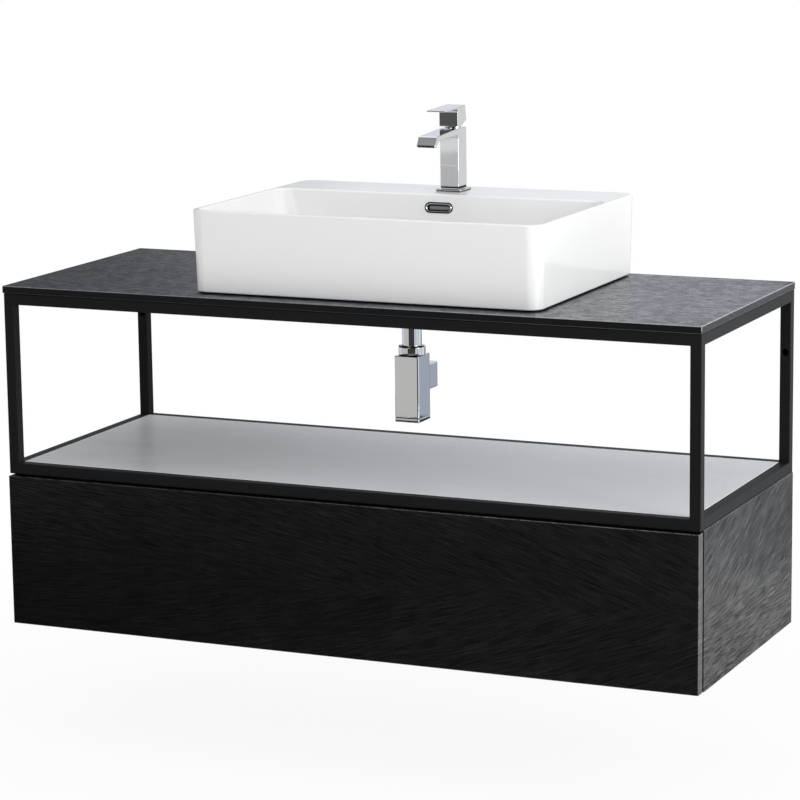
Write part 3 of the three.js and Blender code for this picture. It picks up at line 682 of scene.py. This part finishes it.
OVERFLOW_DROP = 22 * MM
OVERFLOW_HEIGHT = 18 * MM
APART = 0.01 * MM  # keeps the points of a stadium's two half circles apart


def outer_ring(z, inset):
    """The outer wall at a height, drawn in by an inset."""
    share = (BASIN_TOP - z) / (BASIN_TOP - BASIN_UNDER)
    reach = inset + WALL_TAPER * min(share, 1)
    size = (BASIN_SIZE.x - 2 * reach, BASIN_SIZE.y - 2 * reach)
    return raised(rounded(*size, max(OUTER_RADIUS - reach, LEAST_RADIUS)), BASIN_CENTRE, z)


def bowl_ring(z, inset):
    """The bowl's wall at a height, drawn in by an inset, with corners that open downwards."""
    drop = max(BASIN_TOP - z, 0)
    reach = inset + BOWL_SLOPE * drop / BOWL_DEPTH
    radius = BOWL_RADIUS + BOWL_FLARE * drop - inset
    size = (BOWL_SIZE[0] - 2 * reach, BOWL_SIZE[1] - 2 * reach)
    return raised(rounded(*size, radius), BOWL_CENTRE, z)


def basin_rings():
    """Rings round the basin's whole skin: outer wall, rim, bowl, drain, underside and foot."""
    under_edge = 2.4 * MM
    rim_edge = 2.8 * MM
    bowl_edge = 4 * MM
    rings = []
    for sine, cosine in quarter_turn(5):
        rings.append(outer_ring(BASIN_UNDER + under_edge * (1 - cosine), under_edge * (1 - sine)))
    for sine, cosine in quarter_turn(5):
        rings.append(outer_ring(BASIN_TOP - rim_edge * (1 - sine), rim_edge * (1 - cosine)))
    for sine, cosine in quarter_turn(6):
        rings.append(bowl_ring(BASIN_TOP - bowl_edge * (1 - cosine), bowl_edge * (sine - 1)))
    for share in (0.2, 0.4, 0.6, 0.8):
        rings.append(bowl_ring(BASIN_TOP - share * (BOWL_DEPTH - BOWL_FILLET), 0))
    for sine, cosine in quarter_turn(10):
        z = BOWL_FLOOR + FLOOR_FALL + BOWL_FILLET * (1 - sine)
        rings.append(bowl_ring(z, BOWL_FILLET * (1 - cosine)))

    floor_edge = rings[-1]
    seat = raised(circle(FLANGE_SEAT), DRAIN, BOWL_FLOOR)
    for share in range(1, 10):
        rings.append([a.lerp(b, share / 10) for a, b in zip(floor_edge, seat)])
    lip = 1 * MM
    for sine, cosine in quarter_turn(3):
        radius = FLANGE_SEAT + lip * (1 - sine)
        rings.append(raised(circle(radius), DRAIN, BOWL_FLOOR - lip * (1 - cosine)))
    seat_z = BOWL_FLOOR - 4 * MM
    shell_z = BOWL_FLOOR - 11 * MM
    rings.append(raised(circle(FLANGE_SEAT), DRAIN, seat_z))
    rings.append(raised(circle(DRAIN_RADIUS), DRAIN, seat_z))
    rings.append(raised(circle(DRAIN_RADIUS), DRAIN, shell_z))

    rings.append(outer_ring(shell_z, FOOT_FACE + FOOT_WIDTH))
    rings.append(outer_ring(BASIN_LOW.z, FOOT_FACE + FOOT_WIDTH))
    rings.append(outer_ring(BASIN_LOW.z, FOOT_FACE))
    rings.append(outer_ring(BASIN_UNDER, FOOT_FACE))
    return rings


def overflow_ring(inset, lift):
    """A stadium on the bowl's sloping rear wall, drawn in by an inset and lifted off the wall."""
    low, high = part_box("overflow_ring")
    length = high.x - low.x - 2 * inset
    height = OVERFLOW_HEIGHT - 2 * inset
    y = -LEDGE - BOWL_SLOPE * OVERFLOW_DROP / BOWL_DEPTH
    lean = math.atan(BOWL_SLOPE / BOWL_DEPTH)
    lay = Matrix.Translation((BASIN_CENTRE.x, y, BASIN_TOP - OVERFLOW_DROP))
    lay = lay @ Matrix.Rotation(math.pi / 2 - lean, 4, "X")
    return laid(rounded(length, height, height / 2 - APART), lay, lift)


def overflow_band(bm, profile):
    """A band round the overflow, from (inset, lift) pairs in millimetres."""
    loft(bm, [overflow_ring(inset * MM, lift * MM) for inset, lift in profile], closed=True)


def make_basin():
    """The glazed shell, hollow under its ledge, with the tap hole and the overflow's slot."""
    skin = bmesh.new()
    loft(skin, basin_rings(), closed=True)
    basin = piece("basin_glazed", skin, "ceramic_white", ["basin"])

    half_width, deck = 200 * MM, 12 * MM
    front, back = -LEDGE + 14 * MM, BASIN_HIGH.y - 25 * MM
    corner = (BASIN_CENTRE.x - half_width, front, BASIN_LOW.z + 7.2 * MM)
    pocket = bmesh.new()
    box(pocket, corner, (BASIN_CENTRE.x + half_width, back, BASIN_TOP - deck))
    tap_hole = bore(TAP, TAP_HOLE, BASIN_TOP - deck - 8 * MM, BASIN_TOP + MM)
    slot = bmesh.new()
    loft(slot, [overflow_ring(2 * MM, -30 * MM), overflow_ring(2 * MM, 20 * MM)])
    carve(basin, pocket=pocket, tap_hole=tap_hole, slot=slot)


def make_sealant_shade():
    """Black sealant that fills the joint between the basin's foot and the countertop, as painted
    shade for the dark gap under the basin.
    """
    slab_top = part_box("countertop")[1].z + 0.05 * MM
    foot_under = slab_top + 0.9 * MM
    profile = [
        (FOOT_FACE - 4 * MM, slab_top), (FOOT_FACE - 2.6 * MM, BASIN_UNDER - 0.8 * MM),
        (FOOT_FACE - 0.2 * MM, BASIN_UNDER - 0.3 * MM), (FOOT_FACE - 0.2 * MM, foot_under),
        (FOOT_FACE + FOOT_WIDTH, foot_under), (FOOT_FACE + FOOT_WIDTH, slab_top),
    ]
    bed = bmesh.new()
    loft(bed, [outer_ring(z, inset) for inset, z in profile], closed=True)
    piece("sealant_shade", bed, "rubber_black")


def make_overflow():
    """The overflow's chrome ring, its black seals on the glaze and inside the ring, and its grille.
    The seals are painted shade: the shadow line round the ring and the dark of its throat.
    """
    ring = bmesh.new()
    overflow_band(ring, [
        (1.9, 0.3), (1.9, 0.6), (2.2, 0.95), (2.9, 1.7), (3.6, 0.95), (3.9, 0.6), (3.9, -8.0),
        (3.3, -8.0), (3.3, 0.3),
    ])
    piece("overflow_trim", ring, "chrome_plate", ["overflow_ring"])

    seal_shade = bmesh.new()
    # Painted shade: a black seal on the glaze for the shadow line round the ring, and a black lining
    # for the dark throat inside it.
    overflow_band(seal_shade, [(0.0, 0.05), (0.1, 0.8), (0.6, 1.2), (1.85, 1.1), (1.85, 0.05)])
    overflow_band(seal_shade, [(3.95, -8.0), (3.95, 0.2), (4.9, -0.1), (5.3, -0.8), (5.3, -8.0)])
    piece("overflow_seal_shade", seal_shade, "rubber_black")

    grille = bmesh.new()
    loft(grille, [overflow_ring(6.0 * MM, -7.0 * MM), overflow_ring(6.0 * MM, -4.6 * MM)])
    piece("overflow_grille", grille, "grey_plastic", bevel=0.5 * MM)


# ---- Waste, tail pipe and trap --------------------------------------------------------------------


def make_waste():
    """The waste's flange and body, with the guide bars for the plug's stem."""
    stem_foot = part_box("waste_plug")[0].z
    top, foot = DRAIN_HIGH.z, DRAIN_LOW.z
    edge = (DRAIN_HIGH.x - DRAIN_LOW.x) / 2
    profile = [
        (17.8 * MM, top - 3 * MM), (17.8 * MM, top - 0.4 * MM), (18.4 * MM, top),
        (edge - 2.4 * MM, top), (edge - 1.1 * MM, top - 0.3 * MM), (edge - 0.3 * MM, top - 0.9 * MM),
        (edge, top - 1.8 * MM), (edge, top - 3 * MM), (20.9 * MM, top - 3 * MM),
        (20.9 * MM, foot + 0.6 * MM), (20.4 * MM, foot), (16.5 * MM, foot),
        (16.5 * MM, foot + 12 * MM), (17.8 * MM, foot + 13 * MM),
    ]
    flange = bmesh.new()
    lathe(flange, profile, DRAIN)
    bar_low, bar_high = stem_foot + 6 * MM, stem_foot + 12 * MM
    for near, far in ((-18.2 * MM, -4.4 * MM), (4.4 * MM, 18.2 * MM)):
        corner = (DRAIN.x + near, DRAIN.y - 2 * MM, bar_low)
        box(flange, corner, (DRAIN.x + far, DRAIN.y + 2 * MM, bar_high))
    piece("waste_flange", flange, "chrome_plate", ["waste_body"])


def make_plug():
    """The pop-up plug: a stem under a shallow dome."""
    low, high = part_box("waste_plug")
    reach = (high.x - low.x) / 2
    stem = 4 * MM
    edge = 1.5 * MM
    seat = DRAIN_HIGH.z + 0.3 * MM
    rise = high.z - seat - edge
    profile = [(stem, low.z), (stem, seat), (reach - 2 * MM, seat)]
    for sine, cosine in quarter_turn(5):
        profile.append((reach - edge * (1 - sine), seat + edge * (1 - cosine)))
    for sine, cosine in quarter_turn(12)[1:-1]:
        profile.append(((reach - 0.2 * MM) * cosine, seat + edge + rise * sine))
    plug = bmesh.new()
    lathe(plug, profile, DRAIN, closed=False)
    piece("plug_dome", plug, "chrome_plate", ["waste_plug"], body="plug")


def make_tail_tube():
    low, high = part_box("tail_pipe")
    outside, inside = 16 * MM, 14.8 * MM
    pipe = bmesh.new()
    lathe(pipe, [(outside, low.z), (outside, high.z), (inside, high.z), (inside, low.z)], DRAIN)
    piece("tail_tube", pipe, "chrome_plate", ["tail_pipe"], bevel=0.3 * MM)


def make_union_nut():
    low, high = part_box("trap_nut")
    inside, outside = 17 * MM, (high.x - low.x) / 2
    profile = [
        (inside, low.z), (inside, high.z), (outside - 2.6 * MM, high.z),
        (outside - 1.2 * MM, high.z - 0.4 * MM), (outside - 0.3 * MM, high.z - 1.3 * MM),
        (outside, high.z - 2.6 * MM), (outside, low.z + 1.2 * MM),
        (outside - 0.6 * MM, low.z + 0.3 * MM), (outside - 1.4 * MM, low.z),
    ]
    nut = bmesh.new()
    lathe(nut, profile, DRAIN, steps=96)
    piece("trap_union_nut", nut, "chrome_plate", ["trap_nut"])


def make_trap():
    """The trap's square bottle, and the cap that closes it from below."""
    low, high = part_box("trap_body")
    size = (high.x - low.x, high.y - low.y)
    corner, edge = 3 * MM, 1 * MM
    body = bmesh.new()
    prism(body, DRAIN, size, corner, low.z, high.z, edge)
    bottle = piece("trap_bottle", body, "chrome_plate", ["trap_body"])
    well = bore(DRAIN, 19 * MM, low.z - MM, high.z - 6 * MM)
    passage = bore(DRAIN, 16.5 * MM, high.z - 7 * MM, high.z + MM)
    carve(bottle, well=well, passage=passage)

    cap = bmesh.new()
    prism(cap, DRAIN, size, corner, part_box("trap_cap")[0].z, low.z - 0.3 * MM, edge)
    piece("trap_bottom_cap", cap, "chrome_plate", ["trap_cap"])


def make_outlet_collar():
    """The square collar behind the trap, with the round socket for the waste pipe."""
    low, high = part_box("trap_outlet")
    middle = (low + high) / 2
    width, length, height = high - low
    lay = Matrix.Translation((middle.x, low.y, middle.z)) @ Matrix.Rotation(-math.pi / 2, 4, "X")
    corner, edge = 2 * MM, 0.8 * MM
    rings = []
    for sine, cosine in quarter_turn(3):
        inset = edge * (1 - cosine)
        outline = rounded(width - 2 * inset, height - 2 * inset, corner)
        rings.append(laid(outline, lay, length - edge * (1 - sine)))
    socket = circle(16.5 * MM)
    rings += [laid(socket, lay, length), laid(socket, lay, 0)]
    rings.append(laid(rounded(width, height, corner), lay, 0))
    collar = bmesh.new()
    loft(collar, rings, closed=True)
    piece("trap_outlet_collar", collar, "chrome_plate", ["trap_outlet"])


# ---- Faucet ---------------------------------------------------------------------------------------

CLEARANCE = 0.3 * MM  # round the cartridge and its spindle
GASKET = 1 * MM
COLUMN = 35 * MM  # its depth
COLUMN_FRONT, COLUMN_BACK = TAP.y - COLUMN / 2, TAP.y + COLUMN / 2
COLUMN_FOOT = TAP_HIGH.z + 2.5 * MM  # the gasket's black collar shows below it, as a painted shadow gap


def make_base_plate():
    low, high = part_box("faucet_base")
    profile = [(0.3, 1.0), (0.0, 1.3), (0.0, 2.6), (0.3, 3.0), (1.6, 3.4), (3.4, 4.0), (4.2, 4.7)]
    rings = []
    for inset, rise in profile:
        inset = inset * MM
        outline = rounded(high.x - low.x - 2 * inset, high.y - low.y - 2 * inset, 1.5 * MM)
        rings.append(raised(outline, TAP, low.z + rise * MM))
    hole = circle(15 * MM)
    rings += [raised(hole, TAP, high.z), raised(hole, TAP, low.z + GASKET)]
    base = bmesh.new()
    loft(base, rings, closed=True)
    piece("faucet_base_plate", base, "chrome_plate", ["faucet_base"])


def gasket_ring(bm, outline, z_low, z_high):
    """A flat ring of an outline about the tap hole."""
    hole = circle(16 * MM)
    rings = [raised(outline, TAP, z_low), raised(outline, TAP, z_high)]
    rings += [raised(hole, TAP, z_high), raised(hole, TAP, z_low)]
    loft(bm, rings, closed=True)


def make_gasket_shade():
    """Rubber under the base plate, and a collar between the plate and the column. Both are black:
    the plate's gasket is partly painted shade under the plate's edge, and the collar is a painted
    shadow gap.
    """
    low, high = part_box("faucet_base")
    body_low, body_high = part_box("faucet_body")
    flat = rounded(high.x - low.x - 0.6 * MM, high.y - low.y - 0.6 * MM, 1.5 * MM)
    collar = rounded(body_high.x - body_low.x - 0.8 * MM, COLUMN - 0.8 * MM, 1 * MM)
    seal_shade = bmesh.new()
    # Painted shade: a black gasket under the plate, and a black collar for the shadow gap at the
    # column's foot.
    gasket_ring(seal_shade, flat, low.z, low.z + GASKET - 0.02 * MM)
    gasket_ring(seal_shade, collar, high.z + 0.02 * MM, COLUMN_FOOT - 0.05 * MM)
    piece("faucet_gasket_shade", seal_shade, "rubber_black")


def make_casting():
    """The faucet's column and arm, cast in one, with a curved lip over the nozzle."""
    low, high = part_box("faucet_body")
    tip, top = low.y, high.z

    def arm(reach, drop):
        """A point of the arm, in millimetres behind its tip and under its top."""
        return tip + reach * MM, top - drop * MM

    lip_top, lip_front, lip_rear = arm(9, 5.2), arm(0, 21), arm(5.6, 23.4)
    arm_under = arm(22.3, 13)
    root_z = top - 11.3 * MM
    root = (COLUMN_FRONT - 5 * MM, root_z)
    outline = [
        (COLUMN_FRONT, COLUMN_FOOT), (COLUMN_BACK, COLUMN_FOOT), (COLUMN_BACK, top),
        (COLUMN_FRONT, top), lip_top,
    ]
    outline += curve_through(lip_top, arm(4.1, 13), lip_front)
    outline.append(lip_rear)
    outline += curve_through(lip_rear, arm(11.6, 14.5), arm_under)
    outline.append(root)
    outline += curve_through(root, (COLUMN_FRONT, root_z), (COLUMN_FRONT, root_z - 5 * MM))
    body = bmesh.new()
    side_prism(body, outline, low.x, high.x)
    casting = piece("faucet_casting", body, "chrome_plate", ["faucet_body"], bevel=1.2 * MM)

    cartridge_low, cartridge_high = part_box("cartridge")
    well_radius = (cartridge_high.x - cartridge_low.x) / 2 + CLEARANCE
    well = bore(TAP, well_radius, cartridge_low.z - CLEARANCE, top + MM)
    slot = [arm(0.3, 19.6), arm(1.1, 25), arm(6.2, 25), arm(5.9, 17.6), arm(4, 16.4)]
    cheek = 1.6 * MM
    nozzle = bmesh.new()
    side_prism(nozzle, slot, low.x + cheek, high.x - cheek)
    carve(casting, cartridge_well=well, nozzle=nozzle)


def make_aerator():
    """The rubber strip in the nozzle: ribs across a thin web."""
    low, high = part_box("faucet_aerator")
    left, right = low.x - 2 * MM, high.x + 2 * MM
    ribs = 13
    pitch = (right - left) / ribs
    rib = 0.7 * pitch
    strip = bmesh.new()
    for i in range(ribs):
        x = left + i * pitch + (pitch - rib) / 2
        box(strip, (x, low.y - 1 * MM, low.z - 0.7 * MM), (x + rib, high.y, high.z - 1 * MM))
    box(strip, (left, low.y - 0.6 * MM, low.z + 0.4 * MM), (right, high.y, high.z - 0.6 * MM))
    piece("aerator_strip", strip, "rubber_black", ["faucet_aerator"])


def make_lever():
    """The lever: a block on the column with a flat handle that reaches forward."""
    low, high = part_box("faucet_lever")
    bottom, tip = low.z, low.y
    front, back = COLUMN_FRONT - 1.5 * MM, COLUMN_BACK + 0.5 * MM
    under = bottom + 28.4 * MM
    bend = (front - 4 * MM, under + MM)
    outline = [
        (front, bottom), (TAP.y - 4.2 * MM, bottom), (back, bottom + 8.5 * MM),
        (back - 5 * MM, high.z), (tip, under + 2.5 * MM), (tip, under), bend,
    ]
    outline += curve_through(bend, (front, under + MM), (front, under - 4 * MM))
    outline += [(front, under - 5 * MM), (front, bottom + 1.2 * MM)]
    lever = bmesh.new()
    side_prism(lever, outline, low.x, high.x)
    handle = piece(
        "lever_handle", lever, "chrome_plate", ["faucet_lever"], body="lever", bevel=0.6 * MM
    )

    spindle_low, spindle_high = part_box("cartridge_spindle")
    room = Vector.Fill(3, CLEARANCE)
    corner = spindle_low - room
    corner.z = bottom - MM
    socket = bmesh.new()
    box(socket, corner, spindle_high + room)
    carve(handle, spindle_socket=socket)


# ---- Studio ---------------------------------------------------------------------------------------

FLOOR = cad_box[0].z - 0.2
DISC_RADIUS = 2.8
DISC_STEPS = 96


def ray_kinds(nodes):
    """Camera rays, and rays that reach the background in a mirror or through glass."""
    kinds = ("Is Camera Ray", "Is Glossy Ray", "Is Transmission Ray")
    seen, mirrored, through = [nodes.add("LightPath", output=kind) for kind in kinds]
    return seen, mirrored.math("MAXIMUM", through)


def glow(nodes, kind, strength, tint=(1, 1, 1)):
    """A plain light of the kind Background, for a world, or Emission, for a material."""
    return nodes.add(kind, None, {"Color": rgb(*tint), "Strength": strength})


def overlay(nodes, under, layers):
    """Lays shaders over each other, each where its mask is 1."""
    for mask, shader in layers:
        under = nodes.add("MixShader", None, {0: mask, 1: under, 2: shader})
    return under


def make_world():
    """White for the camera. Mirrors see a pale studio with dark walls and a doorway.

    The room side has a dark end with a pale level low in it. The wall side has a dark panel on the
    left and a low wall.
    """
    world = bpy.data.worlds.new("studio")
    bpy.context.scene.world = world
    nodes = Nodes(world)
    x, y, z = nodes.split(nodes.add("TexCoord", output="Generated"))
    room_side = nodes.step(y, -0.2, -0.6)
    wall_side = 1 - room_side
    dark_end = room_side * nodes.step(x, 0.72, 0.55)
    dark_end_top = dark_end * nodes.step(z, 0.2, 0.7)
    level = dark_end * nodes.step(z, -0.1047, -0.1054)
    low_level = level * nodes.step(z, -0.1109, -0.1119)
    left_panel = wall_side * nodes.step(x, -0.4, -0.48)
    left_panel = left_panel * nodes.step(z, 0.7, 0.5) * nodes.step(z, -0.06, 0.0)
    low_wall = wall_side * nodes.step(z, -0.02, -0.08)
    low_wall = low_wall * nodes.step(x, -0.8, -0.6) * nodes.step(x, 0.9, 0.8)
    doorway = nodes.step(x * 0.326 - y * 0.946, 0.81, 0.84)
    studio = overlay(nodes, glow(nodes, "Background", 1.0, (0.8, 0.825, 0.89)), [
        (left_panel, glow(nodes, "Background", 0.17)),
        (low_wall, glow(nodes, "Background", 0.08)),
        (dark_end, glow(nodes, "Background", 0.11)),
        (dark_end_top, glow(nodes, "Background", 0.4)),
        (level, glow(nodes, "Background", 0.92)),
        (low_level, glow(nodes, "Background", 1.0, (0.66, 0.65, 0.635))),
        (doorway, glow(nodes, "Background", 1.0, (0.06, 0.055, 0.05))),
    ])
    seen, mirrored = ray_kinds(nodes)
    shown = overlay(nodes, glow(nodes, "Background", 0.66), [
        (mirrored, studio),
        (seen, glow(nodes, "Background", 1.0)),
    ])
    nodes.add("OutputWorld", None, {"Surface": shown})


def studio_plane(name, outline, at, paint_surface):
    """A flat studio surface from its corners about a place."""
    bm = bmesh.new()
    bm.faces.new([bm.verts.new(corner) for corner in outline])
    plane = made_from(name, bm)
    plane.location = at
    material, paint = finish(name)
    paint.add("OutputMaterial", None, {"Surface": paint_surface(paint)})
    plane.data.materials.append(material)
    return plane


def floor_surface(paint):
    """Keeps the vanity's shadow and fades into the white round it.

    Mirrors see it dark, less so in its right half, and bright at its rear right.
    """
    x, y = paint.place("XY")
    away = paint.add("VectorMath", {"operation": "LENGTH"}, {0: paint.vector(x, y, 0.0)}, "Value")
    lit = paint.add("BsdfDiffuse", None, {"Color": rgb(0.9, 0.9, 0.9)})
    seen, mirrored = ray_kinds(paint)
    right_half = mirrored * paint.step(x, -1.0, 0.2)
    rear_right = mirrored * paint.step(x, 0.65, 0.85) * paint.step(y, -0.5, -0.1)
    return overlay(paint, lit, [
        (mirrored, glow(paint, "Emission", 0.045)),
        (right_half, glow(paint, "Emission", 0.19)),
        (rear_right, glow(paint, "Emission", 1.0)),
        (seen * paint.step(away, 0.6, 1.7, 0.91, 1.0), glow(paint, "Emission", 1.0)),
    ])


def make_floor():
    turns = [math.radians(360 * i / DISC_STEPS) for i in range(DISC_STEPS)]
    outline = [(DISC_RADIUS * math.cos(turn), DISC_RADIUS * math.sin(turn), 0) for turn in turns]
    studio_plane("pale_floor", outline, (0, -0.25, FLOOR), floor_surface)


def card_surface(paint):
    """Pale on the right. Its left part is dimmer, cooler low down, and dark at its foot and end."""
    x, z = paint.place("XZ")
    left_part = paint.step(x, 1.0, 0.75)
    foot = paint.step(z, 0.268, 0.262) * paint.step(x, 0.95, 0.85)
    return overlay(paint, glow(paint, "Emission", 1.0, (0.94, 0.97, 1.0)), [
        (left_part, glow(paint, "Emission", 0.87)),
        (paint.step(z, 0.62, 0.5) * left_part, glow(paint, "Emission", 1.0, (0.44, 0.49, 0.57))),
        (foot, glow(paint, "Emission", 0.03)),
        (paint.step(x, 0.42, 0.3), glow(paint, "Emission", 0.1)),
    ])


def make_reflector():
    """A card behind on the right that only shows in glossy surfaces."""
    left, right, bottom, top = 0.25, 3.2, 0.01, 1.9
    outline = [(left, 0, bottom), (right, 0, bottom), (right, 0, top), (left, 0, top)]
    card = studio_plane("reflector_card", outline, (0, 1.1, FLOOR), card_surface)
    card.visible_camera = False
    card.visible_diffuse = False
    card.visible_shadow = False


def softbox(name, at, towards, size, power):
    data = bpy.data.lights.new(name, "AREA")
    data.shape = "RECTANGLE"
    data.size, data.size_y = size
    data.energy = power
    lamp = bpy.data.objects.new(name, data)
    lamp.location = at
    aim = Vector(towards) - Vector(at)
    lamp.rotation_euler = aim.to_track_quat("-Z", "Y").to_euler()
    lamp.visible_camera = False
    bpy.context.scene.collection.objects.link(lamp)


def make_lights():
    middle = (0, -0.25, -0.1)
    softbox("key_softbox", (3.3, -1.0, 0.7), middle, (1.6, 2.0), 76)
    softbox("top_softbox", (-0.4, -0.1, 2.6), middle, (2.4, 1.8), 15)
    softbox("front_fill", (-0.4, -3.7, 1.2), middle, (2.0, 2.0), 15)


make_camera()
finish_cad_nodes()
make_welds()
make_hole_shade_caps()
make_basin()
make_sealant_shade()
make_overflow()
make_waste()
make_plug()
make_tail_tube()
make_union_nut()
make_trap()
make_outlet_collar()
make_base_plate()
make_gasket_shade()
make_casting()
make_aerator()
make_lever()
make_world()
make_floor()
make_reflector()
make_lights()

bpy.context.scene.view_settings.view_transform = "Standard"
